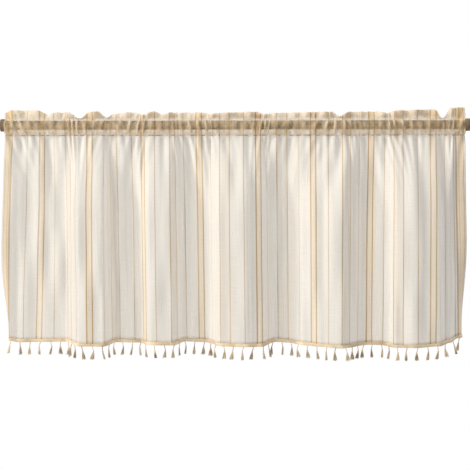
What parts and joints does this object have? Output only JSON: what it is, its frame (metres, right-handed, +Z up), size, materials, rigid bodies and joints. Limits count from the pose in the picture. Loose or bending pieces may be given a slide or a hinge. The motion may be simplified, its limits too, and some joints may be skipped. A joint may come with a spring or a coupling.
{
  "type": "cafe curtain on tension rod",
  "caption": "Short sheer curtain with vertical tan stripes, gathered on a plain tension rod through its pocket, its hem edged with a tape of small tassels.",
  "frame": {"origin": "middle of the left end cap's flat outer face, on the rod's axis", "axes": "+X along the rod to its right end, +Y towards the window behind the curtain, +Z up"},
  "size_m": [1.159, 0.0908, 0.6244],
  "materials": {
    "voile": "sheer plain weave of cream slub yarn with tan warp stripes",
    "trim_cotton": "woven tan cotton tape with corded yarn tassels",
    "rod_paint": "satin grey-brown powder coat",
    "cap_rubber": "matt dark brown ribbed rubber"
  },
  "bodies": {
    "root": {"curtain_cloth": "voile", "tassel_fringe": "trim_cotton", "curtain_rod": "rod_paint", "rod_cap_left": "cap_rubber", "rod_cap_right": "cap_rubber"}
  },
  "joints": []
}
